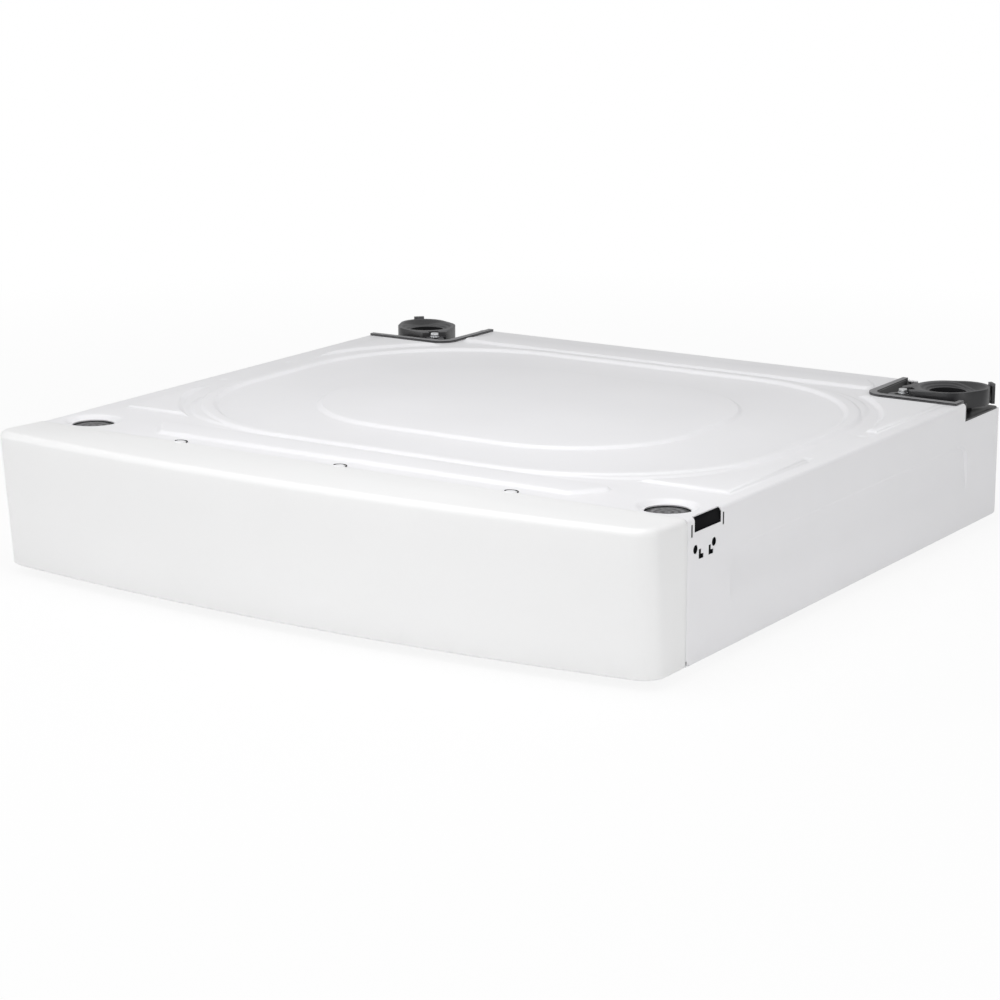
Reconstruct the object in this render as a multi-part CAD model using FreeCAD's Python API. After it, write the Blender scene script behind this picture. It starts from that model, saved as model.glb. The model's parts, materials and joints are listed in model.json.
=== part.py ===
import FreeCAD, Part
import math
import os

# Low sheet-steel riser for a laundry machine: a stamped deck on two side panels, a rear panel and a
# front rail, with a bowed cover over the front, four legs with levelling feet, and retainers on the
# deck for the machine's own feet. Millimetres, +Z up, front towards -Y, floor at Z = 0, with the
# origin under the middle of the whole footprint.

V = FreeCAD.Vector

# Overall sizes of the cabinet, without the front cover and the feet
cabinet_width = 711.0
cabinet_depth = 641.0
cabinet_height = 128.0
floor_gap = 9.0

# Sheet metal and clearances
sheet = 1.2
fold_radius = 3.5
flange_width = 12.0
seam_gap = 0.6
fit_gap = 0.3
through = 5.0
tiny = 1e-4

# Front cover
cover_depth = 89.0
cover_wall = 2.0
cover_lip = 1.5
cover_rise = 3.5
cover_lean = 12.0
cover_bow_radius = 2500.0
cover_corner_radius = 28.0
cover_top_radius = 7.0
cover_return = 14.0
cover_screw_pitch = 181.5
cover_screw_setback = 0.6
ear_radius = 6.5
screw_head_radius = 4.8
screw_head_height = 1.6
screw_radius = 2.0
screw_length = 12.0
deck_lap = 14.0
deck_lap_inset = 8.0

# Embosses of the deck, all raised with sloping walls
deck_pattern_forward = 5.5
emboss_height = 2.6
emboss_run = 4.0
plateau_length = 404.0
plateau_margin = 160.5
plateau_half_straight = 28.0
bead_length = 610.0
bead_margin = 81.5
bead_half_straight = 54.0
bead_half_width = 7.0
crescent_reach = 17.0
crescent_radius = 127.0
crescent_half_angle = 33.0
crescent_height = 1.5
corner_emboss_x = 341.0
corner_emboss_margin = 103.5
corner_emboss_tip_y = 72.0
corner_emboss_gap = 27.0
band_margin = 29.5
band_width = 36.0
band_near_half = 238.0
band_far_half = 222.0
band_radius = 5.0

# Front retainers: a flared hole in the deck over a moulded cup with a pad
cup_inset = 39.0
front_cup_y = 34.4
dish_radius = 27.5
dish_hole_radius = 20.2
dish_depth = 4.0
cup_body_height = 41.0
cup_body_half_y = 31.0
cup_body_inner = 36.0
cup_wall = 3.0
cup_roof = 12.0
cup_pad_thickness = 3.0

# Rear retainers: a sunk corner tray with a flange on the deck and an adjustable cup bolted into it
tray_length = 105.0
tray_depth = 98.0
tray_corner_radius = 20.0
tray_outer_radius = 6.0
tray_lap = 5.0
tray_flange_height = 2.5
tray_wall = 2.5
tray_floor = 1.8
tray_inset = 0.2
tray_pillar = 50.0
notch_depth = 18.2
notch_setback = 16.0
fold_margin = 5.5
platform_height = 5.1
platform_radius = 24.0
platform_half_width = 8.0
rear_cup_radius = 32.0
cup_tail = 17.0
cup_tail_radius = 26.0
rear_cup_height = 16.6
rear_cup_hole_radius = 18.0
rear_cup_hole_length = 12.0
rear_cup_rim = 2.5
rear_cup_travel = 6.0
cup_nose = 44.0
cup_nose_half_width = 13.0
tongue_half_width = 9.0
tongue_height = 11.6
bolt_reach = 47.5
bolt_radius = 2.5
bolt_hole_gap = 0.3
bolt_head_flats = 8.0
bolt_head_height = 3.5
bolt_tail = 2.0
washer_radius = 5.0
washer_thickness = 1.2
nut_height = 4.0
clip_reach = 48.5
clip_thickness = 3.5
clip_width = 11.0
clip_drop = 2.0
clip_height = 16.0
clip_rib_width = 4.0
clip_rib_bottom = 8.0

# Stamping and openings of the side panels, measured from the seam and the top or bottom edge
pad_front = 77.0
pad_rear_margin = 73.0
pad_bottom = 30.0
pad_top = 86.0
pad_radius = 15.0
pad_depth = 2.0
pad_run = 3.0
slot_width = 46.0
slot_drop = 13.2
slit_offset = 27.2
slit_width = 2.0
slit_length = 11.0
slit_drop = 5.5
hole_half_pitch = 16.0
hole_forward = 4.8
hole_drop = 28.0
hole_radius = 3.9
hook_half_pitch = 8.5
hook_forward = 2.4
hook_drop = 33.4
hook_length = 8.4
hook_height = 8.6
hook_leg = 3.4

# Rail, stiffeners, legs and levelling feet
rail_setback = 2.0
rail_top_flange = 18.0
front_stiffener_gap = 24.6
rear_stiffener_gap = 1.0
stiffener_height = 25.0
stiffener_crown = 30.0
stiffener_flange = 15.0
leg_sheet = 2.5
leg_depth = 66.0
leg_half_width = 31.0
stud_radius = 4.95
stud_top = 46.0
thread_gap = 0.05
stud_hole_gap = 0.8
foot_nut_flats = 17.0
weld_nut_height = 8.0
lock_nut_height = 4.6
foot_base_flats = 24.0
foot_base_thickness = 2.0
foot_pad_radius = 16.5
foot_pad_thickness = 3.0

# Levels and places that follow from the sizes above
half_width = cabinet_width / 2
inner_x = half_width - sheet
seam_y = cover_depth - (cover_depth + cabinet_depth) / 2
rear_y = seam_y + cabinet_depth
bottom_z = floor_gap
deck_z = floor_gap + cabinet_height
deck_under_z = deck_z - sheet
panel_top_z = deck_z - fold_radius
notch_z = deck_z - notch_depth
notch_x = half_width - tray_length + notch_setback
notch_y = rear_y - tray_depth + notch_setback
pattern_y = (seam_y + rear_y) / 2 - deck_pattern_forward
plateau_width = cabinet_depth - 2 * plateau_margin
plateau_radius = plateau_width / 2 - plateau_half_straight
bead_width = cabinet_depth - 2 * bead_margin
bead_radius = bead_width / 2 - bead_half_straight
corner_emboss_y = cabinet_depth / 2 - corner_emboss_margin
corner_emboss_radius = bead_radius + corner_emboss_gap
band_far_y = cabinet_depth / 2 - band_margin
band_near_y = band_far_y - band_width
cup_x = half_width - cup_inset
front_foot_y = seam_y + front_cup_y
rear_foot_y = rear_y - cup_inset
cup_pad_radius = dish_hole_radius - 2 * fit_gap
stiffener_half = stiffener_crown / 2 + stiffener_flange
front_stiffener_y = front_foot_y + cup_body_half_y + front_stiffener_gap + stiffener_half
rear_stiffener_y = rear_y - tray_depth - rear_stiffener_gap - stiffener_half
cup_bottom_z = deck_z - cup_body_height
cup_ledge_z = deck_z - dish_depth - sheet - fit_gap
tray_floor_z = notch_z + tray_floor
platform_z = tray_floor_z + platform_height
bolt_x = cup_x - bolt_reach * math.sqrt(0.5)
bolt_y = rear_foot_y - bolt_reach * math.sqrt(0.5)
leg_bottom_z = bottom_z + sheet
leg_floor_z = leg_bottom_z + leg_sheet
screw_y = seam_y - cover_screw_setback
screw_seat_z = deck_z + cover_lip
screw_places = [k * cover_screw_pitch for k in (-1, 0, 1)]
cover_front_height = cabinet_height + cover_lip + cover_rise - cover_top_radius
cover_tilt = math.atan2(cover_rise, cover_depth)
cover_slant = math.atan2(cover_lean, cover_front_height) + cover_tilt
towards_front = FreeCAD.Rotation(V(0, 0, 1), 225)


def box(x0, x1, y0, y1, z0, z1):
    return Part.makeBox(x1 - x0, y1 - y0, z1 - z0, V(x0, y0, z0))


def cylinder(radius, x, y, z0, z1):
    return Part.makeCylinder(radius, z1 - z0, V(x, y, z0))


def cone(radius0, radius1, x, y, z0, z1):
    return Part.makeCone(radius0, radius1, z1 - z0, V(x, y, z0))


def hexagon(flats, x, y, z0, z1):
    corner = flats / 2 / math.cos(math.pi / 6)
    angles = [math.pi / 3 * k for k in range(7)]
    points = [V(x + corner * math.cos(a), y + corner * math.sin(a), z0) for a in angles]
    return Part.Face(Part.makePolygon(points)).extrude(V(0, 0, z1 - z0))


def fillet_edges(shape, radius, wanted):
    return shape.makeFillet(radius, [e for e in shape.Edges if wanted(e)])


def chamfer_edges(shape, size, wanted):
    return shape.makeChamfer(size, [e for e in shape.Edges if wanted(e)])


def mirrored(shape):
    return shape.mirror(V(0, 0, 0), V(1, 0, 0))


def sided(shape, side):
    return shape if side > 0 else mirrored(shape)


def one_solid(shape):
    shape = shape.removeSplitter()
    return shape.Solids[0] if len(shape.Solids) == 1 else shape


def rounded_hull(centres, radius, z):
    """Closed wire round circles of one radius about centres that go anticlockwise."""
    count = len(centres)
    normals = []
    for k in range(count):
        (x0, y0), (x1, y1) = centres[k], centres[(k + 1) % count]
        length = math.hypot(x1 - x0, y1 - y0)
        normals.append(V((y1 - y0) / length, (x0 - x1) / length, 0))
    edges = []
    for k in range(count):
        centre = V(*centres[k], z)
        following = V(*centres[(k + 1) % count], z)
        middle = (normals[k - 1] + normals[k]).normalize()
        start = centre + normals[k - 1] * radius
        end = centre + normals[k] * radius
        edges.append(Part.Arc(start, centre + middle * radius, end).toShape())
        edges.append(Part.LineSegment(end, following + normals[k] * radius).toShape())
    return Part.Wire(edges)


def rectangle_centres(length, width, radius, y):
    a = length / 2 - radius
    b = width / 2 - radius
    return [(-a, y - b), (a, y - b), (a, y + b), (-a, y + b)]


def emboss(outline, height):
    """Raised boss with sloping walls, from inside the sheet up; outline(grow, z) gives its wire."""
    slope = emboss_run / emboss_height
    half_run = slope * height / 2
    low = outline(half_run + slope * sheet / 2, deck_z - sheet / 2)
    high = outline(-half_run, deck_z + height)
    return Part.makeLoft([low, high], True, True)


def hull_emboss(centres, radius):
    return emboss(lambda grow, z: rounded_hull(centres, radius + grow, z), emboss_height)


def ring_bead():
    """Rounded-square bead: one boss less the space inside its inner wall."""
    centres = rectangle_centres(bead_length, bead_width, bead_radius, pattern_y)
    outer = hull_emboss(centres, bead_radius + bead_half_width)
    foot = bead_radius - bead_half_width - emboss_run / 2
    slope = emboss_run / emboss_height
    low = rounded_hull(centres, foot - slope * sheet, deck_z - sheet)
    high = rounded_hull(centres, foot + emboss_run, deck_z + emboss_height)
    return outer.cut(Part.makeLoft([low, high], True, True))


def crescent(side_x, side_y):
    """Lens that widens the ring bead at one corner of the deck."""
    x = side_x * (bead_length / 2 - bead_radius)
    y = pattern_y + side_y * (bead_width / 2 - bead_radius)
    heading = math.atan2(side_y, side_x)
    half = math.radians(crescent_half_angle)

    def outward(turn, distance):
        return V(math.cos(heading + turn), math.sin(heading + turn), 0) * distance

    def outline(grow, z):
        corner = V(x, y, z)
        centre = corner + outward(0, bead_radius + crescent_reach - crescent_radius)
        first = centre + outward(-half, crescent_radius + grow)
        crown = centre + outward(0, crescent_radius + grow)
        last = centre + outward(half, crescent_radius + grow)
        front = Part.Arc(first, crown, last).toShape()
        back = Part.Arc(last, corner + outward(0, bead_radius), first).toShape()
        return Part.Wire([front, back])

    return emboss(outline, crescent_height)


def corner_emboss(side_x, side_y):
    """Three-sided boss in a corner of the deck, hollowed along the ring bead."""
    centre_x = bead_length / 2 - bead_radius
    centre_y = bead_width / 2 - bead_radius

    def outline(grow, z):
        radius = corner_emboss_radius - grow
        right = corner_emboss_x + grow
        far = corner_emboss_y + grow
        near = corner_emboss_tip_y - grow
        far_turn = math.asin((far - centre_y) / radius)
        near_turn = math.asin((near - centre_y) / radius)

        def on_ring(turn):
            return centre_x + radius * math.cos(turn), centre_y + radius * math.sin(turn)

        corners = [on_ring(far_turn), (right, far), (right, near), on_ring(near_turn)]
        corners.append(on_ring((far_turn + near_turn) / 2))
        p = [V(side_x * a, pattern_y + side_y * b, z) for a, b in corners]
        lines = [Part.LineSegment(p[k], p[k + 1]).toShape() for k in range(3)]
        return Part.Wire(lines + [Part.Arc(p[3], p[4], p[0]).toShape()])

    return emboss(outline, emboss_height)


def band(side_y):
    """Long flat boss between the ring bead and the front or rear edge."""
    inward = band_radius + emboss_run / 2
    near = band_near_y + inward
    far = band_far_y - inward
    outline = [(-band_near_half, near), (band_near_half, near), (band_far_half, far), (-band_far_half, far)]
    placed = [(x, pattern_y + side_y * y) for x, y in outline]
    return hull_emboss(placed if side_y > 0 else placed[::-1], band_radius)


def deck_bosses():
    corners = [(a, b) for a in (-1, 1) for b in (-1, 1)]
    plateau = rectangle_centres(plateau_length, plateau_width, plateau_radius, pattern_y)
    bosses = [hull_emboss(plateau, plateau_radius), ring_bead(), band(-1), band(1)]
    bosses += [crescent(a, b) for a, b in corners]
    bosses += [corner_emboss(a, b) for a, b in corners]
    return bosses


def rolled_block(inset):
    """Block whose left, right and rear top edges are rolled over."""
    top = deck_z - inset
    x = half_width - inset
    block = box(-x, x, seam_y, rear_y - inset, panel_top_z - through, top)

    def rolled(edge):
        middle = edge.CenterOfMass
        return abs(middle.z - top) < tiny and middle.y > seam_y + tiny

    return fillet_edges(block, fold_radius - inset, rolled)


def corner_block(inset, radius, z0, z1):
    """Right rear corner block with its inner front corner rounded, running past the outer edges."""
    x0 = half_width - tray_length + inset
    y0 = rear_y - tray_depth + inset
    block = box(x0, half_width + through, y0, rear_y + through, z0, z1)

    def inner(edge):
        middle = edge.CenterOfMass
        return abs(middle.x - x0) < tiny and abs(middle.y - y0) < tiny

    return fillet_edges(block, radius, inner)


def tray_well(inset, z0, z1):
    """Opening for the tray, stepped in where the folded edges of the deck run on beside it."""
    well = corner_block(tray_lap + inset, tray_corner_radius - tray_lap - inset, z0, z1)
    x = half_width - fold_margin - inset
    y = rear_y - fold_margin - inset
    beside = box(x, half_width + 2 * through, 0, notch_y + inset, z0, z1)
    behind = box(0, notch_x + inset, y, rear_y + 2 * through, z0, z1)
    return well.cut(beside).cut(behind)


def dish():
    """Sunk, flared rim of the right front foot hole."""
    lap = dish_radius + sheet
    ring = [
        (lap, deck_z),
        (dish_radius, deck_z),
        (dish_hole_radius, deck_z - dish_depth),
        (dish_hole_radius, deck_under_z - dish_depth),
        (dish_radius, deck_under_z),
        (lap, deck_under_z),
    ]
    wire = Part.makePolygon([V(r, 0, z) for r, z in ring + ring[:1]])
    solid = Part.Face(wire).revolve(V(0, 0, 0), V(0, 0, 1), 360)
    solid.translate(V(cup_x, front_foot_y, 0))
    return solid


def slot_cut(z0, z1):
    """Opening beside the right front foot cup, through the fold between deck and side."""
    y0 = front_foot_y - slot_width / 2
    return box(half_width - fold_radius, half_width + through, y0, y0 + slot_width, z0, z1)


def stamped_sheet():
    """Deck sheet of even thickness: the outer form less the same form lowered and drawn in."""
    bosses = deck_bosses()
    flat_x = half_width - fold_radius
    mouth = box(-flat_x, flat_x, seam_y - through, seam_y + through, panel_top_z - through, deck_under_z)
    core = rolled_block(sheet).fuse(mouth).multiFuse([b.translated(V(0, 0, -sheet)) for b in bosses])
    form = rolled_block(0).multiFuse(bosses).cut(core)
    x = half_width + through
    return form.cut(box(-x, x, seam_y - through, rear_y + through, panel_top_z - 2 * through, panel_top_z))


def deck_panel():
    lap_x = half_width - deck_lap_inset
    deck = stamped_sheet().fuse(box(-lap_x, lap_x, seam_y - deck_lap, seam_y, deck_under_z, deck_z))
    low = panel_top_z - through
    high = deck_z + through
    for side in (-1, 1):
        deck = deck.cut(cylinder(dish_radius, side * cup_x, front_foot_y, low, high))
        deck = deck.fuse(sided(dish(), side))
        deck = deck.cut(sided(tray_well(0, low, high), side))
        deck = deck.cut(sided(slot_cut(low, high), side))
    for x in screw_places:
        deck = deck.cut(cylinder(screw_radius + thread_gap, x, screw_y, low, high))
    return one_solid(deck)


def side_recess():
    """Tapered block that sinks a rounded rectangle into the right side panel."""
    y0 = seam_y + pad_front + pad_radius
    y1 = rear_y - pad_rear_margin - pad_radius
    z0 = bottom_z + pad_bottom + pad_radius
    z1 = bottom_z + pad_top - pad_radius
    upright = FreeCAD.Rotation(V(0, 1, 0), V(0, 0, 1), V(1, 0, 0), "XYZ")

    def outline(radius, x):
        wire = rounded_hull([(y0, z0), (y1, z0), (y1, z1), (y0, z1)], radius, 0)
        wire.Placement = FreeCAD.Placement(V(x, 0, 0), upright)
        return wire

    mouth = outline(pad_radius + pad_run / pad_depth * sheet, half_width + sheet)
    return Part.makeLoft([mouth, outline(pad_radius - pad_run, half_width - pad_depth)], True, True)


def hook_cut(y):
    """L-shaped opening of one lanced hook."""
    x0 = inner_x - through
    x1 = half_width + through
    y0 = y - hook_length / 2
    z0 = deck_z - hook_drop - hook_height / 2
    leg = box(x0, x1, y0, y0 + hook_leg, z0, z0 + hook_height)
    return leg.fuse(box(x0, x1, y0, y0 + hook_length, z0, z0 + hook_leg))


def right_side_panel():
    """Upright sheet with a bottom flange turned in, a sunk pad and the openings beside the cups."""
    x0 = inner_x - through
    x1 = half_width + through
    panel = box(inner_x, half_width, seam_y, rear_y, bottom_z, panel_top_z)
    panel = panel.fuse(box(inner_x - flange_width, inner_x, seam_y + rail_setback + sheet, rear_y - sheet,
                           bottom_z, bottom_z + sheet))
    recess = side_recess()
    behind = box(inner_x - pad_depth - sheet, inner_x, seam_y, rear_y, bottom_z, deck_z)
    panel = panel.fuse(recess.translated(V(-sheet, 0, 0)).common(behind)).cut(recess)
    panel = panel.cut(box(x0, x1, notch_y, rear_y + through, notch_z, deck_z))
    panel = panel.cut(slot_cut(deck_z - slot_drop, deck_z))
    for k in (-1, 1):
        slit_y = front_foot_y + k * slit_offset
        slit_z = deck_z - slit_drop
        panel = panel.cut(box(x0, x1, slit_y - slit_width / 2, slit_y + slit_width / 2,
                              slit_z - slit_length, slit_z))
        mouth = V(x0, front_foot_y - hole_forward + k * hole_half_pitch, deck_z - hole_drop)
        panel = panel.cut(Part.makeCylinder(hole_radius, x1 - x0, mouth, V(1, 0, 0)))
        panel = panel.cut(hook_cut(front_foot_y - hook_forward + k * hook_half_pitch))
    return one_solid(panel)


def rear_panel():
    panel = box(-inner_x, inner_x, rear_y - sheet, rear_y, bottom_z, panel_top_z)
    reach = inner_x - flange_width - fit_gap
    flange_y = rear_y - sheet - flange_width
    panel = panel.fuse(box(-reach, reach, flange_y, rear_y - sheet, bottom_z, bottom_z + sheet))
    notch = box(notch_x, half_width + through, rear_y - sheet - through, rear_y + through, notch_z, deck_z)
    return one_solid(panel.cut(notch).cut(mirrored(notch)))


def front_rail():
    """Channel behind the cover: full height between the foot cups, lower in front of them."""
    y0 = seam_y + rail_setback
    y1 = y0 + sheet
    between = cup_x - cup_body_inner - cup_wall
    rail = box(-inner_x, inner_x, y0, y1, bottom_z, deck_under_z - dish_depth - sheet)
    rail = rail.fuse(box(-between, between, y0, y1, bottom_z, deck_under_z))
    rail = rail.fuse(box(-between, between, y0, y0 + rail_top_flange, deck_under_z - sheet, deck_under_z))
    low = inner_x - flange_width - fit_gap
    return one_solid(rail.fuse(box(-low, low, y0, y0 + flange_width, bottom_z, bottom_z + sheet)))


def stiffener(y):
    """Hat channel across the cabinet, flanges up against the flat of the deck."""
    x = half_width - fold_radius
    half_crown = stiffener_crown / 2
    crown_z = deck_under_z - stiffener_height
    hat = box(-x, x, y - stiffener_half, y + stiffener_half, deck_under_z - sheet, deck_under_z)
    hat = hat.fuse(box(-x, x, y - half_crown, y + half_crown, crown_z, deck_under_z))
    inside = half_crown - sheet
    hollow = box(-x - through, x + through, y - inside, y + inside, crown_z + sheet, deck_z)
    return one_solid(hat.cut(hollow))


def cover_block(inset, soften):
    """Cover as a full block: bowed leaning front, tilted roof, corners and top edge softened."""
    radius = cover_top_radius - inset
    half = half_width - inset
    height = 2 * cabinet_height
    roll_y = (cover_depth - cover_top_radius * (1 + math.sin(cover_tilt))) / math.cos(cover_tilt)
    roof_y = roll_y + radius * (math.tan(cover_slant) + 1 / math.cos(cover_slant))
    axis_y = cover_bow_radius - cover_depth
    roof_radius = axis_y + roof_y
    low_radius = roof_radius - height * math.tan(cover_slant)
    block = cone(low_radius, roof_radius, 0, axis_y, -inset - height, -inset)
    block = block.common(box(-half, half, -2 * cover_depth, cover_depth, -inset - height, -inset))

    def corner(edge):
        ends = [v.Point for v in edge.Vertexes]
        beside = all(abs(abs(p.x) - half) < tiny and p.y < 0 for p in ends)
        return beside and abs(ends[0].z - ends[-1].z) > radius

    def top(edge):
        ends = [v.Point for v in edge.Vertexes]
        return all(abs(p.z + inset) < tiny for p in ends) and min(p.y for p in ends) < cover_depth - tiny

    block = soften(block, cover_corner_radius - inset, corner)
    block = soften(block, radius, top)
    block.rotate(V(0, 0, 0), V(1, 0, 0), -math.degrees(cover_tilt))
    block.translate(V(0, seam_y, screw_seat_z))
    return block


def cover_mouth():
    """Opening in the bottom of the cover inside its turned-in edge."""
    half = half_width - cover_return
    radius = cover_bow_radius - cover_lean - cover_return
    low = bottom_z - through
    high = bottom_z + through
    bow = cylinder(radius, 0, seam_y - cover_depth + cover_bow_radius, low, high)
    return bow.common(box(-half, half, seam_y - cover_depth, seam_y + through, low, high))


def front_fascia():
    x = half_width + through
    back = seam_y + 2 * cover_depth
    floor_z = bottom_z - 2 * cabinet_height
    cover = cover_block(0, fillet_edges).cut(box(-x, x, seam_y - 2 * cover_depth, back, floor_z, bottom_z))
    hollow = cover_block(cover_wall, chamfer_edges)
    hollow = hollow.cut(box(-x, x, seam_y - 2 * cover_depth, back, floor_z, bottom_z + cover_wall))
    cover = cover.cut(hollow).cut(cover_mouth())
    cover = cover.cut(box(-x, x, seam_y, back, floor_z, deck_z + cabinet_height))
    cover = cover.cut(box(-x, x, seam_y - seam_gap, back, bottom_z - through, panel_top_z))
    lap_x = half_width - deck_lap_inset + fit_gap
    lap_y = seam_y - deck_lap - fit_gap
    cover = cover.cut(box(-lap_x, lap_x, lap_y, back, panel_top_z, deck_z))
    for place in screw_places:
        cover = cover.fuse(cylinder(ear_radius, place, screw_y, deck_z, screw_seat_z))
        head_room = screw_head_radius + fit_gap
        cover = cover.cut(cylinder(head_room, place, screw_y, screw_seat_z, screw_seat_z + through))
        cover = cover.cut(cylinder(screw_radius + thread_gap, place, screw_y, deck_z - through, screw_seat_z))
    return one_solid(cover)


def fascia_screws():
    screws = []
    for x in screw_places:
        head = cylinder(screw_head_radius, x, screw_y, screw_seat_z, screw_seat_z + screw_head_height)
        shank = cylinder(screw_radius, x, screw_y, screw_seat_z - screw_length, screw_seat_z)
        screws.append(head.fuse(shank))
    return Part.makeCompound(screws)


def right_front_foot_cup():
    """Moulded block under the foot hole: a seat for the pad, walls down to the leg."""
    x0 = cup_x - cup_body_inner
    x1 = inner_x - fit_gap
    y0 = front_foot_y - cup_body_half_y
    y1 = front_foot_y + cup_body_half_y
    body = box(x0, x1, y0, y1, cup_bottom_z, deck_under_z)

    def under_fold(edge):
        middle = edge.CenterOfMass
        return abs(middle.x - x1) < tiny and abs(middle.z - deck_under_z) < tiny

    body = fillet_edges(body, fold_radius - sheet, under_fold)
    body = body.cut(box(x0 + cup_wall, x1 - cup_wall, y0 + cup_wall, y1 - cup_wall,
                        cup_bottom_z - through, deck_z - cup_roof))
    pocket = dish_radius + sheet + fit_gap
    body = body.cut(box(cup_x - pocket, cup_x + pocket, front_foot_y - pocket, front_foot_y + pocket,
                        cup_ledge_z, deck_z))
    seat_z = cup_ledge_z - cup_pad_thickness
    return one_solid(body.cut(cylinder(cup_pad_radius + fit_gap, cup_x, front_foot_y, seat_z, deck_z)))


def right_front_cup_pad():
    return cylinder(cup_pad_radius, cup_x, front_foot_y, cup_ledge_z - cup_pad_thickness, cup_ledge_z)


def tray_shell():
    """Right rear tray: a well open towards the outside, its flange lying on the deck."""
    top = deck_z + tray_flange_height
    x1 = half_width - tray_inset
    y1 = rear_y - tray_inset
    bounds = box(notch_x - tray_length, x1, notch_y - tray_depth, y1, notch_z, deck_z)

    def outer(edge):
        middle = edge.CenterOfMass
        return abs(middle.x - x1) < tiny and abs(middle.y - y1) < tiny

    shell = tray_well(fit_gap, notch_z, deck_z).common(fillet_edges(bounds, tray_outer_radius, outer))
    flat = box(0, half_width - fold_radius, 0, rear_y - fold_radius, deck_z, top)
    shell = shell.fuse(corner_block(0, tray_corner_radius, deck_z, top).common(flat))
    return shell.cut(tray_well(fit_gap + tray_wall, tray_floor_z, top + through))


def tray_platform():
    """Raised seat for the cup: a round under its ring and a bar out to the bolt."""
    bar = box(0, bolt_reach, -platform_half_width, platform_half_width, notch_z, platform_z)
    bar.Placement = FreeCAD.Placement(V(cup_x, rear_foot_y, 0), towards_front)
    seat = cylinder(platform_radius, cup_x, rear_foot_y, notch_z, platform_z)
    end = cylinder(platform_half_width, bolt_x, bolt_y, notch_z, platform_z)
    return seat.fuse(bar).fuse(end)


def tray_pillar_walls():
    """Square box with a cross rib that stands on the leg under the cup."""
    half = tray_pillar / 2
    inside = half - cup_wall
    rib = cup_wall / 2

    def post(x, y, z0):
        return box(cup_x - x, cup_x + x, rear_foot_y - y, rear_foot_y + y, z0, notch_z)

    walls = post(half, half, cup_bottom_z).cut(post(inside, inside, cup_bottom_z - through))
    return walls.fuse(post(half, rib, cup_bottom_z)).fuse(post(rib, half, cup_bottom_z))


def right_rear_tray():
    tray = tray_shell().fuse(tray_platform()).fuse(tray_pillar_walls())
    return one_solid(tray.cut(cylinder(bolt_radius + bolt_hole_gap, bolt_x, bolt_y, cup_bottom_z, deck_z)))


def flipped(point):
    return V(point.x, -point.y, point.z)


def tail_touch(radius, tail_radius):
    """Ends of the line that touches the cup's round and the smaller round of its tail."""
    turn = math.acos((radius - tail_radius) / cup_tail)
    towards = V(-math.cos(turn), math.sin(turn), 0)
    return towards * radius, V(-cup_tail, 0, 0) + towards * tail_radius


def cup_body():
    """Block with a round about the origin, a flat nose towards +X and a round tail behind."""
    nose = V(cup_nose, cup_nose_half_width, 0)
    turn = math.atan2(nose.y, nose.x) + math.acos(rear_cup_radius / nose.Length)
    touch = V(math.cos(turn), math.sin(turn), 0) * rear_cup_radius
    near, far = tail_touch(rear_cup_radius, cup_tail_radius)
    side = V(0, rear_cup_radius, 0)
    edges = Part.makePolygon([flipped(touch), flipped(nose), nose, touch]).Edges
    edges.append(Part.Arc(touch, side, near).toShape())
    edges.append(Part.makeLine(near, far))
    edges.append(Part.Arc(far, V(-cup_tail - cup_tail_radius, 0, 0), flipped(far)).toShape())
    edges.append(Part.makeLine(flipped(far), flipped(near)))
    edges.append(Part.Arc(flipped(near), flipped(side), flipped(touch)).toShape())
    return Part.Face(Part.Wire(edges)).extrude(V(0, 0, rear_cup_height))


def dish_outline(radius, tail_radius, z):
    near, far = tail_touch(radius, tail_radius)
    front = Part.Arc(flipped(near), V(radius, 0, 0), near).toShape()
    back = Part.Arc(far, V(-cup_tail - tail_radius, 0, 0), flipped(far)).toShape()
    wire = Part.Wire([front, Part.makeLine(near, far), back, Part.makeLine(flipped(far), flipped(near))])
    wire.translate(V(0, 0, z))
    return wire


def cup_dish():
    """Sloping top of the cup, from its rim down to the edge of the hole."""
    slope = rear_cup_radius - rear_cup_rim - rear_cup_hole_radius
    tail_rim = cup_tail_radius - rear_cup_rim
    low = dish_outline(rear_cup_hole_radius, tail_rim - slope, rear_cup_hole_length)
    high = dish_outline(rear_cup_hole_radius + slope, tail_rim, rear_cup_height)
    return Part.makeLoft([low, high], True, True)


def cup_tongue():
    """Low tongue beyond the nose, in front of a notch that clears the bolt's washer."""
    end = bolt_reach + rear_cup_travel
    tongue = box(0, end, -tongue_half_width, tongue_half_width, 0, tongue_height)
    return tongue.fuse(cylinder(tongue_half_width, end, 0, 0, tongue_height))


def tongue_cuts():
    """Washer notch in the nose and the slot that lets the cup travel along its bolt."""
    end = bolt_reach + rear_cup_travel
    start = bolt_reach - rear_cup_travel
    width = bolt_radius + bolt_hole_gap
    room = washer_radius + 2 * fit_gap
    cuts = box(start - room, cup_nose + through, -room, room, tongue_height, 2 * rear_cup_height)
    cuts = cuts.fuse(box(start, end, -width, width, -through, tongue_height + through))
    for u in (start, end):
        cuts = cuts.fuse(cylinder(width, u, 0, -through, tongue_height + through))
    return cuts


def cup_clip():
    """Upright plate behind the ring, held off it by a rib."""
    inner = clip_thickness - clip_reach
    tail_end = cup_tail + cup_tail_radius
    half = clip_width / 2
    rib = clip_rib_width / 2
    plate = box(-clip_reach, inner, -half, half, -clip_drop, clip_height)
    return plate.fuse(box(inner, rear_cup_rim - tail_end, -rib, rib, clip_rib_bottom, clip_height))


def right_rear_foot_cup():
    """Ring with a dished top that holds a machine foot, and its slotted tongue."""
    cup = cup_body().fuse(cup_tongue()).fuse(cup_clip()).cut(tongue_cuts()).cut(cup_dish())
    cup = one_solid(cup.cut(cylinder(rear_cup_hole_radius, 0, 0, -through, rear_cup_hole_length)))
    cup.Placement = FreeCAD.Placement(V(cup_x, rear_foot_y, platform_z + fit_gap), towards_front)
    return cup


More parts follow.
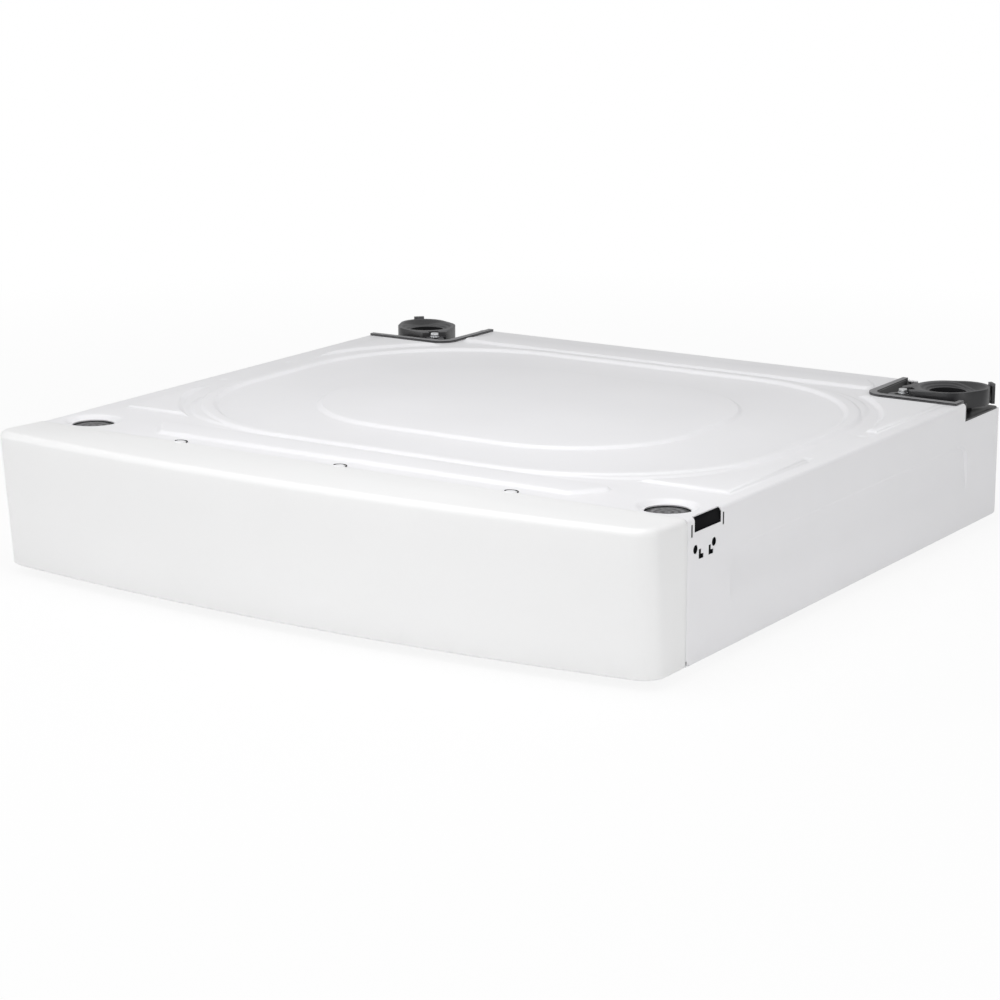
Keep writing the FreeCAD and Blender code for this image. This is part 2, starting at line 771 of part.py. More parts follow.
def rear_cup_fasteners():
    """Bolt, washer and nut of the right rear cup."""
    washer_z = platform_z + tongue_height + 2 * fit_gap
    head_z = washer_z + washer_thickness
    nut_bottom = notch_z - nut_height
    hole = cylinder(bolt_radius + thread_gap, bolt_x, bolt_y, nut_bottom - through, head_z + through)
    bolt = hexagon(bolt_head_flats, bolt_x, bolt_y, head_z, head_z + bolt_head_height)
    bolt = bolt.fuse(cylinder(bolt_radius, bolt_x, bolt_y, nut_bottom - bolt_tail, head_z))
    washer = cylinder(washer_radius, bolt_x, bolt_y, washer_z, head_z).cut(hole)
    nut = hexagon(bolt_head_flats, bolt_x, bolt_y, nut_bottom, notch_z).cut(hole)
    return {"bolts": bolt, "washers": washer, "nuts": nut}


def right_leg(y):
    """Folded leg, open towards the middle of the cabinet, with the foot's hole in its floor."""
    x0 = inner_x - leg_depth
    y0 = y - leg_half_width
    y1 = y + leg_half_width
    leg = box(x0, inner_x, y0, y1, leg_bottom_z, cup_bottom_z)
    leg = leg.cut(box(x0 - through, inner_x - leg_sheet, y0 + leg_sheet, y1 - leg_sheet,
                      leg_floor_z, cup_bottom_z - leg_sheet))
    hole = cylinder(stud_radius + stud_hole_gap, cup_x, y, leg_bottom_z - through, leg_floor_z + through)
    return one_solid(leg.cut(hole))


def threaded_nut(x, y, z0, z1):
    nut = hexagon(foot_nut_flats, x, y, z0, z1)
    return nut.cut(cylinder(stud_radius + thread_gap, x, y, z0 - through, z1 + through))


def levelling_foot(x, y):
    """Threaded stud on a hexagonal base."""
    base_top = foot_pad_thickness + foot_base_thickness
    base = hexagon(foot_base_flats, x, y, foot_pad_thickness, base_top)
    return one_solid(base.fuse(cylinder(stud_radius, x, y, base_top, stud_top)))


def foot_pad(x, y):
    """Rubber disc under a levelling foot."""
    return cylinder(foot_pad_radius, x, y, 0, foot_pad_thickness)


def feet_places():
    return {
        "left_front": (-cup_x, front_foot_y),
        "right_front": (cup_x, front_foot_y),
        "left_rear": (-cup_x, rear_foot_y),
        "right_rear": (cup_x, rear_foot_y),
    }


def feet_nodes():
    """Legs, levelling feet and pads at the four corners, and their nuts as two groups."""
    nodes = {}
    weld_nuts = []
    lock_nuts = []
    for name, (x, y) in feet_places().items():
        nodes[name + "_leg"] = sided(right_leg(y), x)
        nodes[name + "_levelling_foot"] = levelling_foot(x, y)
        nodes[name + "_foot_pad"] = foot_pad(x, y)
        weld_nuts.append(threaded_nut(x, y, leg_floor_z, leg_floor_z + weld_nut_height))
        lock_nuts.append(threaded_nut(x, y, leg_bottom_z - lock_nut_height, leg_bottom_z))
    nodes["leg_weld_nuts"] = Part.makeCompound(weld_nuts)
    nodes["foot_lock_nuts"] = Part.makeCompound(lock_nuts)
    return nodes


def build():
    nodes = {
        "deck_panel": deck_panel(),
        "rear_panel": rear_panel(),
        "front_rail": front_rail(),
        "front_stiffener": stiffener(front_stiffener_y),
        "rear_stiffener": stiffener(rear_stiffener_y),
        "front_fascia": front_fascia(),
        "fascia_screws": fascia_screws(),
    }
    handed = {
        "side_panel": right_side_panel(),
        "front_foot_cup": right_front_foot_cup(),
        "front_cup_pad": right_front_cup_pad(),
        "rear_tray": right_rear_tray(),
        "rear_foot_cup": right_rear_foot_cup(),
    }
    for name, shape in handed.items():
        nodes["right_" + name] = shape
        nodes["left_" + name] = mirrored(shape)
    for name, shape in rear_cup_fasteners().items():
        nodes["rear_cup_" + name] = Part.makeCompound([shape, mirrored(shape)])
    nodes.update(feet_nodes())
    return nodes


os.makedirs("parts", exist_ok=True)
for node, shape in build().items():
    state = "valid" if shape.isValid() else "NOT VALID"
    print(node, len(shape.Solids), "solid(s)", state, round(shape.Volume / 1000, 2), "cm3")
    shape.exportStep(os.path.join("parts", node + ".step"))
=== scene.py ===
# %% [markdown]
# # A laundry riser, finished in Blender
# The riser is a low box of folded white sheet steel that a washing machine stands on. Its sizes
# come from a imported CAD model, which is loaded here as a fixed frame in metres. Blender adds what
# the solids leave out: soft stampings, rounded edges, paint, moulded plastic and zinc.

# %% Load the frame
import json
import math

import bmesh
import bpy
import numpy as np
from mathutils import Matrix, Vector
from mathutils.geometry import delaunay_2d_cdt


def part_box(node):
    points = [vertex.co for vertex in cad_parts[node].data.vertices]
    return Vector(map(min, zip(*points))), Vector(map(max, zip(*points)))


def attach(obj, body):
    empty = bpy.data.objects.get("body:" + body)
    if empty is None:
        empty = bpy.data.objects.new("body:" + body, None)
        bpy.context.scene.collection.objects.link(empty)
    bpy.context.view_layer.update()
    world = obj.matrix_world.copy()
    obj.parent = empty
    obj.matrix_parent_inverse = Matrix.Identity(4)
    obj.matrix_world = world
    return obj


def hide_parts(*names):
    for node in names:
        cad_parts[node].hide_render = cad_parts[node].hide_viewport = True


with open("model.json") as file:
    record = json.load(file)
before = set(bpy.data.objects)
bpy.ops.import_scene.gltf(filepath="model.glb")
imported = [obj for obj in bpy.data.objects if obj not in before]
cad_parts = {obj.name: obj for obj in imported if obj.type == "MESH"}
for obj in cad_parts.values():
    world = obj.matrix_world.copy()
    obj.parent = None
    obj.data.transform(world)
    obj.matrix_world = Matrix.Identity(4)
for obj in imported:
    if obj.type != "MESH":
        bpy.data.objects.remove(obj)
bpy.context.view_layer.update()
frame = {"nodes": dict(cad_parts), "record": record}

nodes = frame["nodes"]
print("nodes in the frame:", len(nodes))

# %% [markdown]
# ## Sizes
# Everything below is worked out in millimetres, because sheet-metal sizes are easier to read that
# way, and goes to metres when a mesh is made. The large sizes are read from the frame's own boxes,
# so the visual pieces stay on the solids.

# %% Read the main sizes from the frame
MM = 0.001


def box_mm(node):
    low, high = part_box(node)
    return [c / MM for c in low], [c / MM for c in high]


cover_low = box_mm("front_fascia")[0]
side_low, side_high = box_mm("right_side_panel")
cup_pad_low, cup_pad_high = box_mm("right_front_cup_pad")
tray_low = box_mm("right_rear_tray")[0]

half_width = side_high[0]
seam_y = side_low[1]
rear_y = side_high[1]
front_y = cover_low[1]
bottom_z = side_low[2]
panel_top_z = side_high[2]
sheet = 1.2
fold_radius = 3.5
pattern_shift = 5.5
bolt_reach = 33.6
notch_inset, notch_drop = 16.0, 18.2
deck_z = panel_top_z + fold_radius
cup_x = (cup_pad_low[0] + cup_pad_high[0]) / 2
front_foot_y = (cup_pad_low[1] + cup_pad_high[1]) / 2
pattern_y = (seam_y + rear_y) / 2 - pattern_shift
rear_foot_y = rear_y - (half_width - cup_x)
bolt_x, bolt_y = cup_x - bolt_reach, rear_foot_y - bolt_reach
notch_x, notch_y = tray_low[0] + notch_inset, tray_low[1] + notch_inset
notch_z = deck_z - notch_drop
print(f"half width {half_width:.1f}, seam {seam_y:.1f}, rear {rear_y:.1f}, deck top {deck_z:.1f} mm")

# %% [markdown]
# ## Camera
# The photograph was taken from the right, a little above the deck, with a long lens. The numbers
# come from fitting a camera to the edges and screws in the picture, so each pixel of the render can
# be compared with the same pixel of the photograph.

# %% Place the camera
camera_pitch, camera_yaw = 13.74, 32.88
camera_data = bpy.data.cameras.new("product_camera")
camera_data.sensor_width = 36.0
camera_data.lens = 103.79
camera = bpy.data.objects.new("product_camera", camera_data)
camera.location = (1.4796, -2.3014, 0.7194)
camera.rotation_euler = (math.radians(90 - camera_pitch), 0.0, math.radians(camera_yaw))
bpy.context.scene.collection.objects.link(camera)
bpy.context.scene.camera = camera
bpy.context.scene.view_settings.view_transform = "Standard"
print("camera lens", camera_data.lens, "mm")

# %% [markdown]
# ## Shader maths in plain Python
# A finish is a small sum of noises and masks. Drawing that as nodes by hand is slow to read, so one
# class wraps a socket and lets Python's own signs add the Math nodes. `node` makes any other node:
# its settings are set first, then its sockets are given values or links.


# %% Wrap a socket
class Wire:
    """An output socket that Python's arithmetic works on."""

    def __init__(self, tree, socket=None):
        self.tree = tree
        self.socket = socket

    def node(self, kind, settings=None, inputs=None, output=0):
        made = self.tree.nodes.new(kind)
        for key, value in (settings or {}).items():
            if key == "stops":
                ramp = made.color_ramp.elements
                while len(ramp) < len(value):
                    ramp.new(0.5)
                for stop, (place, shade) in zip(ramp, value):
                    stop.position = place
                    stop.color = (shade, shade, shade, 1.0)
            else:
                setattr(made, key, value)
        for key, value in (inputs or {}).items():
            if isinstance(value, Wire):
                self.tree.links.new(value.socket, made.inputs[key])
            else:
                made.inputs[key].default_value = value
        return Wire(self.tree, made.outputs[output])

    def maths(self, operation, first, second):
        return self.node("ShaderNodeMath", {"operation": operation}, {0: first, 1: second})

    def __add__(self, other):
        return self.maths("ADD", self, other)

    def __radd__(self, other):
        return self.maths("ADD", other, self)

    def __sub__(self, other):
        return self.maths("SUBTRACT", self, other)

    def __rsub__(self, other):
        return self.maths("SUBTRACT", other, self)

    def __mul__(self, other):
        return self.maths("MULTIPLY", self, other)

    def __rmul__(self, other):
        return self.maths("MULTIPLY", other, self)

    def shade(self, low, high):
        """A colour that goes from low to high as this value goes from 0 to 1."""
        ends = {0: self, 6: (*low, 1.0), 7: (*high, 1.0)}
        return self.node("ShaderNodeMix", {"data_type": "RGBA"}, ends, output=2)

    def ramp(self, *stops):
        return self.node("ShaderNodeValToRGB", {"stops": stops}, {0: self})


def noise(tree, scale, detail=2.0, rough=0.5, where=None):
    place = where or Wire(tree).node("ShaderNodeTexCoord", output=3)
    return place.node("ShaderNodeTexNoise", None,
                      {"Vector": place, "Scale": scale, "Detail": detail, "Roughness": rough})


print("socket class ready")

# %% [markdown]
# ## A finish
# Each finish is one Principled shader. Numbers that are the same all over go straight on its
# sockets. What varies over the surface, such as the faint orange peel of powder coat, feeds colour,
# roughness and a Bump node.


# %% Start a finish
def new_finish(name, **fixed):
    """An empty material with one Principled shader: (material, tree, shader)."""
    material = bpy.data.materials.new(name)
    material.use_nodes = True
    tree = material.node_tree
    shader = tree.nodes["Principled BSDF"]
    for socket, value in fixed.items():
        shader.inputs[socket.replace("_", " ")].default_value = value
    return material, tree, shader


def feed(tree, shader, socket, wire):
    tree.links.new(wire.socket, shader.inputs[socket])


def feed_bump(tree, shader, height, strength, distance):
    inputs = {"Height": height, "Strength": strength, "Distance": distance}
    feed(tree, shader, "Normal", height.node("ShaderNodeBump", None, inputs))


print("finish helpers ready")


# %% [markdown]
# ## White powder coat
# The deck, sides and back are powder-coated steel: white, satin, with a fine orange peel a few
# millimetres across and a very slow drift in tone. A clear coat gives the soft second highlight of
# the cured film.

# %% White steel
white_steel, tree, shader = new_finish("white_powder_coat", Coat_Weight=0.12, Coat_Roughness=0.25)
drift = noise(tree, 9.0, 3.0)
peel = noise(tree, 420.0, 1.5)
grain = noise(tree, 1900.0, 1.0)
feed(tree, shader, "Base Color", drift.shade((0.802, 0.799, 0.816), (0.848, 0.845, 0.862)))
feed(tree, shader, "Roughness", 0.34 + 0.10 * drift + 0.06 * grain)
feed_bump(tree, shader, 0.8 * peel + 0.2 * grain, 0.10, 0.0004)
print("finish:", white_steel.name)

# %% [markdown]
# ## White cover
# The cover is moulded, so it has no orange peel. It is a little smoother than the steel, with a fine
# even grain.

# %% White cover
white_cover, tree, shader = new_finish("white_moulded_cover", Coat_Weight=0.10, Coat_Roughness=0.30)
drift = noise(tree, 6.0, 2.0)
grain = noise(tree, 1500.0, 2.0)
feed(tree, shader, "Base Color", drift.shade((0.830, 0.830, 0.831), (0.866, 0.866, 0.867)))
feed(tree, shader, "Roughness", 0.36 + 0.08 * drift + 0.05 * grain)
feed_bump(tree, shader, grain, 0.06, 0.0003)
print("finish:", white_cover.name)

# %% [markdown]
# ## Black moulded plastic
# Trays and cups are injection-moulded, with a fine spark-eroded grain and a slightly mottled sheen.
# What changes from place to place is masked by the distance to an upright axis and by the height. The
# left and right sides share one finish, because the distance is measured with the side's sign left
# out.

# %% Places on the object
def plan_distance(tree, x, y):
    """(distance in millimetres from an upright axis at +-x and y, height in millimetres)"""
    place = Wire(tree).node("ShaderNodeTexCoord", output=3)
    parts = [place.node("ShaderNodeSeparateXYZ", None, {0: place}, output=k) for k in range(3)]
    across = parts[0].maths("ABSOLUTE", parts[0], 0.0) * 1000.0 - x
    along = parts[1] * 1000.0 - y
    squared = across * across + along * along
    return squared.maths("SQRT", squared, 0.0), parts[2] * 1000.0


def between(value, low, high):
    """1 between two limits, else 0."""
    return value.maths("GREATER_THAN", value, low) * value.maths("LESS_THAN", value, high)


print("masks ready")

# %% [markdown]
# ## Tray
# The well under the cup never sees light, so its colour is painted near black as shade, and it is
# duller.
# The flange on the deck is painted in bands: pale lines near its foot and at its top edge as painted
# highlights, and dark bands at its foot and below its top edge as painted shade.

# %% Tray plastic
tray_plastic, tree, shader = new_finish("black_tray_plastic", Specular_IOR_Level=0.45)
cloud = noise(tree, 60.0, 4.0)
grain = noise(tree, 2200.0, 2.0)
from_cup, height = plan_distance(tree, cup_x, rear_foot_y)
well_radius, flange_edge, flange_top = 24.5, 2.3, 3.0
# Painted shade: the tray's faces near the cup's axis, in the well, are painted near black.
well_shade = between(from_cup, -1.0, well_radius)
above_deck = height - deck_z
# Painted light on the flange: dark bands 0 to 0.5 mm and 1.3 to 2.3 mm above the deck are painted shade;
# pale bands 0.5 to 1.3 mm and flange_edge to flange_top above it are painted highlights.
flange = between(above_deck, 0.0, flange_edge)
tone = 0.12 * cloud * (1.0 - flange) + 0.70 * between(above_deck, flange_edge, flange_top)
tone = tone + 0.35 * between(above_deck, 0.5, 1.3)
tone = tone * (1.0 - well_shade)
feed(tree, shader, "Base Color", tone.shade((0.003, 0.003, 0.004), (0.260, 0.259, 0.268)))
feed(tree, shader, "Roughness", 0.32 + 0.12 * cloud + 0.50 * well_shade)
feed_bump(tree, shader, 0.6 * grain + 0.4 * cloud, 0.15, 0.0003)
print("finish:", tray_plastic.name)

# %% [markdown]
# ## Rear cups
# The dish of a cup shows turned rings, which are a sine of the distance from its axis. Its rim and the
# tongue round the bolt are painted paler as highlights, and its well is painted dark as shade.

# %% Cup plastic
black_plastic, tree, shader = new_finish("black_moulded_plastic", Specular_IOR_Level=0.42)
cloud = noise(tree, 60.0, 4.0)
grain = noise(tree, 2200.0, 2.0)
from_cup, height = plan_distance(tree, cup_x, rear_foot_y)
dish_inner, dish_outer, rim_low, rim_high, tongue_reach = 18.6, 29.4, 5.2, 9.0, 17.0
above_deck = height - deck_z
# Painted shade: the faces inside the cup's hole, below the deck, are painted near black.
well_shade = between(from_cup, -1.0, dish_inner) * between(above_deck, -50.0, 1.2)
ring_wave = (from_cup * 1.4).maths("SINE", from_cup * 1.4, 0.0)
turned = between(from_cup, dish_inner, dish_outer) * between(above_deck, 0.5, rim_high)
turned = turned * (0.5 + 0.5 * ring_wave)
# Painted highlight: the cup's faces 5.2 to 9 mm above the deck, round its rim, are painted paler.
rim_painted_shading = between(above_deck, rim_low, rim_high)
from_bolt = plan_distance(tree, bolt_x, bolt_y)[0]
# Painted highlight: a thin band round the bolt just above the deck, the tongue's edge, is painted paler.
tongue_highlight = between(above_deck, 0.35, 0.9) * between(from_bolt, -1.0, tongue_reach)
tone = (0.20 * cloud + 0.45 * turned + 0.45 * rim_painted_shading + 0.55 * tongue_highlight) * (1.0 - well_shade)
feed(tree, shader, "Base Color", tone.shade((0.003, 0.003, 0.004), (0.120, 0.119, 0.125)))
feed(tree, shader, "Roughness", 0.30 + 0.12 * cloud + 0.55 * well_shade)
feed_bump(tree, shader, 0.3 * grain + 0.2 * cloud + 0.5 * turned, 0.20, 0.0006)
print("finish:", black_plastic.name)

# %% [markdown]
# ## Front cups
# The front cups lie deep under the deck and read as plain black openings, so their plastic is painted
# near black as shade and hardly shines.

# %% Front cup plastic
painted_shade_plastic, tree, shader = new_finish("painted_shade_black_plastic", Specular_IOR_Level=0.04)
cloud = noise(tree, 80.0, 4.0)
grain = noise(tree, 2200.0, 2.0)
# Painted shade: a near-black base colour stands in for the shadow the front cups sit in.
feed(tree, shader, "Base Color", cloud.shade((0.002, 0.002, 0.003), (0.006, 0.006, 0.007)))
feed(tree, shader, "Roughness", 0.55 + 0.15 * cloud)
feed_bump(tree, shader, grain, 0.15, 0.0003)
print("finish:", painted_shade_plastic.name)

# %% [markdown]
# ## Grey pads
# The pads in the two front cups are moulded rubber with shallow concentric ribs. The ribs are a sine
# of the distance from the cup's axis, and a coarse speckle gives the worn, dusty look of the photo.

# %% Grey pad
grey_pad, tree, shader = new_finish("grey_foot_pad", Specular_IOR_Level=0.35)
speckle = noise(tree, 420.0, 3.0, 0.6)
grain = noise(tree, 2600.0, 2.0)
from_axis = plan_distance(tree, cup_x, front_foot_y)[0]
rib_wave = (from_axis * 1.05).maths("SINE", from_axis * 1.05, 0.0)
# Painted shade: the pad's outer ring, under the deck's flared lip, is painted darker.
rim_painted_shading = between(from_axis, 17.2, 30.0)
dust = speckle.ramp((0.35, 0.0), (0.68, 1.0))
tone = (0.55 * dust + 0.45 * (0.5 + 0.5 * rib_wave)) * (1.0 - 0.9 * rim_painted_shading)
feed(tree, shader, "Base Color", tone.shade((0.020, 0.020, 0.021), (0.240, 0.241, 0.246)))
feed(tree, shader, "Roughness", 0.50 + 0.20 * grain)
feed_bump(tree, shader, 0.4 * grain + 0.6 * rib_wave, 0.30, 0.0008)
print("finish:", grey_pad.name)

# %% [markdown]
# ## Foot rubber
# The pads under the levelling feet are plain rubber: dark, matt and slightly uneven in tone.

# %% Foot rubber
foot_rubber, tree, shader = new_finish("foot_rubber", Specular_IOR_Level=0.3)
cloud = noise(tree, 120.0, 4.0)
grain = noise(tree, 1800.0, 3.0)
feed(tree, shader, "Base Color", cloud.shade((0.026, 0.026, 0.026), (0.060, 0.059, 0.057)))
feed(tree, shader, "Roughness", 0.68 + 0.16 * grain)
feed_bump(tree, shader, grain, 0.25, 0.0004)
print("finish:", foot_rubber.name)

# %% [markdown]
# ## Zinc
# Bolts, nuts, legs and channels are zinc-plated. Zinc freezes in crystals, so a cell texture gives
# each patch its own tone and gloss, and a stretched noise adds the rub marks of handling.

# %% Zinc plate
zinc_steel, tree, shader = new_finish("zinc_plate", Metallic=1.0)
place = Wire(tree).node("ShaderNodeTexCoord", output=3)
spangle = place.node("ShaderNodeTexVoronoi", None, {"Vector": place, "Scale": 160.0}, output=1)
patch = spangle.node("ShaderNodeSeparateColor", None, {0: spangle})
stretch = place.node("ShaderNodeMapping", None, {"Vector": place, "Scale": (1.0, 14.0, 1.0)})
rub = noise(tree, 70.0, 4.0, 0.6, stretch)
tone = 0.55 * patch + 0.45 * rub
feed(tree, shader, "Base Color", tone.shade((0.62, 0.63, 0.65), (0.86, 0.87, 0.88)))
feed(tree, shader, "Roughness", 0.24 + 0.16 * patch + 0.12 * rub)
feed_bump(tree, shader, rub, 0.08, 0.0002)
print("finish:", zinc_steel.name)

# %% [markdown]
# ## Floor
# A pale floor takes a soft shadow. For camera and mirror rays part of it glows at strength 1, so it
# stays white without more light on the object.

# %% Floor
floor_finish = bpy.data.materials.new("studio_floor")
floor_finish.use_nodes = True
tree = floor_finish.node_tree
tree.nodes.remove(tree.nodes["Principled BSDF"])
path = tree.nodes.new("ShaderNodeLightPath")
seen = Wire(tree, path.outputs["Is Camera Ray"]) + Wire(tree, path.outputs["Is Glossy Ray"])
seen = seen + Wire(tree, path.outputs["Is Transmission Ray"])
paper = noise(tree, 3.0, 2.0).shade((0.86, 0.86, 0.86), (0.88, 0.88, 0.88))
matt = paper.node("ShaderNodeBsdfDiffuse", None, {"Color": paper})
glow = paper.node("ShaderNodeEmission", None, {"Color": (1.0, 1.0, 1.0, 1.0), "Strength": 1.0})
spot = Wire(tree).node("ShaderNodeTexCoord", output=3)
away = spot.node("ShaderNodeVectorMath", {"operation": "LENGTH"}, {0: spot}, output=1)
share = 0.89 + 0.11 * (0.9 * away - 0.55).ramp((0.0, 0.0), (1.0, 1.0))
share = share * seen.node("ShaderNodeMath", {"operation": "MINIMUM"}, {0: seen, 1: 1.0})
both = share.node("ShaderNodeMixShader", None, {0: share, 1: matt, 2: glow})
tree.links.new(both.socket, tree.nodes["Material Output"].inputs["Surface"])

floor_mesh = bpy.data.meshes.new("studio_floor")
floor_reach = 30.0
floor_corners = [(-floor_reach, -floor_reach, 0), (floor_reach, -floor_reach, 0),
                 (floor_reach, floor_reach, 0), (-floor_reach, floor_reach, 0)]
floor_mesh.from_pydata(floor_corners, [], [(0, 1, 2, 3)])
floor_mesh.materials.append(floor_finish)
floor = bpy.data.objects.new("studio_floor", floor_mesh)
bpy.context.scene.collection.objects.link(floor)
print("floor:", 2 * floor_reach, "m wide")

# %% [markdown]
# ## World and lamps
# The world is white to the camera and gives a weaker fill to the object. Four large soft lamps stand at
# the left, in front, above and at the right end, so each wall of the stampings gets a little more or
# less light than the flat beside it, and the right side stays darker than the cover.

# %% World and lamps
world = bpy.data.worlds.new("studio_world")
bpy.context.scene.world = world
world.use_nodes = True
tree = world.node_tree
path = tree.nodes.new("ShaderNodeLightPath")
seen = Wire(tree, path.outputs["Is Camera Ray"])
fill = seen.node("ShaderNodeBackground", None, {"Color": (1.0, 1.0, 1.0, 1.0), "Strength": 0.51})
white = seen.node("ShaderNodeBackground", None, {"Color": (1.0, 1.0, 1.0, 1.0), "Strength": 1.0})
both = seen.node("ShaderNodeMixShader", None, {0: seen, 1: fill, 2: white})
tree.links.new(both.socket, tree.nodes["World Output"].inputs["Surface"])


def soft_lamp(name, place, target, size, power):
    data = bpy.data.lights.new(name, "AREA")
    data.shape = "SQUARE"
    data.size = size
    data.energy = power
    lamp = bpy.data.objects.new(name, data)
    lamp.location = place
    lamp.rotation_euler = (Vector(target) - Vector(place)).to_track_quat("-Z", "Y").to_euler()
    bpy.context.scene.collection.objects.link(lamp)


soft_lamp("left_softbox", (-2.7, -1.5, 0.55), (-0.1, -0.1, 0.1), 1.2, 13.0)
soft_lamp("front_softbox", (1.0, -3.0, 0.5), (0.1, -0.1, 0.1), 1.0, 12.5)
soft_lamp("top_softbox", (0.1, -0.52, 1.2), (0.0, -0.2, 0.1), 0.9, 9.0)
soft_lamp("end_softbox", (2.8, -0.2, 0.45), (0.3, 0.0, 0.08), 1.2, 9.6)
print("world and four lamps made")

# %% [markdown]
# ## From points to a piece
# Every piece below is a list of points and faces in millimetres. One helper makes the mesh, applies
# its modifiers, shades it smooth up to an angle and ties it to the CAD body that it moves with.


# %% Make a piece
def shade_by_angle(mesh, degrees):
    mesh.polygons.foreach_set("use_smooth", [True] * len(mesh.polygons))
    mesh.set_sharp_from_angle(angle=math.radians(degrees))


def add_piece(name, points, faces, finish, stands_for=(), body="cabinet",
              thickness=0.0, bevel=0.0, degrees=35):
    """A piece from points in millimetres; thickness grows inwards, bevel rounds its sharp edges."""
    mesh = bpy.data.meshes.new(name)
    mesh.from_pydata([[c * MM for c in p] for p in points], [], [list(f) for f in faces])
    mesh.validate()
    mesh.materials.append(finish)
    piece = bpy.data.objects.new(name, mesh)
    bpy.context.scene.collection.objects.link(piece)
    if thickness:
        solid = piece.modifiers.new("thickness", "SOLIDIFY")
        solid.thickness = thickness * MM
        solid.offset = -1.0
        solid.use_even_offset = True
    if bevel:
        soft = piece.modifiers.new("soft_edges", "BEVEL")
        soft.width = bevel * MM
        soft.segments = 2
        soft.limit_method = "ANGLE"
        soft.angle_limit = math.radians(40)
    if piece.modifiers:
        shaped = piece.evaluated_get(bpy.context.evaluated_depsgraph_get())
        piece.data = bpy.data.meshes.new_from_object(shaped)
        piece.modifiers.clear()
        bpy.data.meshes.remove(mesh)
        piece.data.name = name
    shade_by_angle(piece.data, degrees)
    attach(piece, body)
    if stands_for:
        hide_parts(*stands_for)
    print(f"{name}: {len(piece.data.polygons)} faces")


print("piece helper ready")

# %% [markdown]
# ## Stamped sheet
# A stamping starts as a flat blank. The blank's outline, its holes and the lines along which it is
# pressed become edges of one flat triangulation, and a height for each point then presses it into
# shape. That keeps large flats truly flat and puts many points only where the sheet bends. A grid or
# a sculpted plane would need far more points for the same crisp beads.


# %% Flat blanks
def arc(x, y, radius, start, end, step=4.0):
    """Points along an arc, in degrees."""
    count = max(2, math.ceil(abs(end - start) / step) + 1)
    turns = np.radians(np.linspace(start, end, count))
    return [(x + radius * math.cos(t), y + radius * math.sin(t)) for t in turns]


def circle(x, y, radius, step=7.5):
    return arc(x, y, radius, 0, 360, step)[:-1]


def hull_loop(centres, radius, step=3.0):
    """Loop at one distance round a convex row of centres that goes anticlockwise."""
    loop = []
    count = len(centres)
    for k in range(count):
        (x0, y0), (x1, y1), (x2, y2) = centres[k - 1], centres[k], centres[(k + 1) % count]
        before = math.degrees(math.atan2(x0 - x1, y1 - y0))
        after = math.degrees(math.atan2(x1 - x2, y2 - y1))
        while after < before:
            after += 360
        loop += arc(x1, y1, radius, before, after, step)
    return loop


def is_inside(points, loop):
    """Even-odd test of many points against one loop."""
    x, y = points[:, 0], points[:, 1]
    inside = np.zeros(len(points), bool)
    for (x0, y0), (x1, y1) in zip(loop, loop[1:] + loop[:1]):
        if y0 != y1:
            crosses = (y0 > y) != (y1 > y)
            inside ^= crosses & (x < (x1 - x0) * (y - y0) / (y1 - y0) + x0)
    return inside


def flat_blank(outline, holes=(), lines=()):
    """Triangles inside the outline and outside the holes, with edges along closed and open lines."""
    points, edges = [], []
    closed_first = sorted(lines, key=lambda line: not line[1])
    for line, is_loop in [(outline, True)] + [(hole, True) for hole in holes] + closed_first:
        first = len(points)
        points += line
        edges += [(first + k, first + k + 1) for k in range(len(line) - 1)]
        if is_loop:
            edges.append((len(points) - 1, first))
    made = delaunay_2d_cdt([Vector(p) for p in points], edges, [], 0, 1e-4)
    places = np.array([v[:] for v in made[0]])
    faces = np.array(made[2])
    middles = places[faces].mean(axis=1)
    keep = is_inside(middles, outline)
    for hole in holes:
        keep &= ~is_inside(middles, hole)
    faces = faces[keep]
    used = np.unique(faces)
    renumber = np.zeros(len(places), int)
    renumber[used] = np.arange(len(used))
    return places[used], renumber[faces]


def ease(t):
    """Smooth step from 0 to 1 with no kink at either end."""
    t = np.clip(t, 0.0, 1.0)
    return t * t * t * (t * (6 * t - 15) + 10)


def hull_distance(x, y, centres):
    """Distance of points from a convex outline that goes anticlockwise, negative inside."""
    nearest = np.full(len(x), 1e9)
    within = np.ones(len(x), bool)
    for (x0, y0), (x1, y1) in zip(centres, centres[1:] + centres[:1]):
        dx, dy = x1 - x0, y1 - y0
        t = np.clip(((x - x0) * dx + (y - y0) * dy) / (dx * dx + dy * dy), 0, 1)
        nearest = np.minimum(nearest, np.hypot(x - x0 - t * dx, y - y0 - t * dy))
        within &= dx * (y - y0) - dy * (x - x0) >= 0
    return np.where(within, -nearest, nearest)


steps = np.array([-1.0, -0.66, -0.33, 0.0, 0.33, 0.66, 1.0]) / 2
print("blank tools ready")

# %% [markdown]
# ## Deck: the embosses
# The deck has a raised plateau, a ring bead round it with a crescent at each corner, a long flat boss
# in front of and behind the ring, and a three-sided boss in each corner. Each one is a distance to an
# outline and a height, and the sheet takes the highest. Their walls are S-shaped, as a press leaves
# them.

# %% Outlines of the embosses
emboss_height = 3.1
emboss_run = 7.2
ring_x, ring_y, ring_radius, ring_half = 120.0, 54.0, 185.0, 7.0
plateau_x, plateau_y, plateau_radius = 70.0, 28.0, 132.0
crescent_radius, crescent_reach, crescent_height, crescent_spread = 127.0, 17.0, 1.5, 40
band_radius, band_front, band_rear, band_wide, band_narrow = 5.0, 262.0, 284.0, 238.0, 222.0
corner_side = {-1: 326.0, 1: 341.0}
corner_far, corner_tip, corner_radius = 217.0, 72.0, 212.0
corners = [(a, b) for a in (-1, 1) for b in (-1, 1)]


def rectangle(x, y):
    return [(-x, -y), (x, -y), (x, y), (-x, y)]


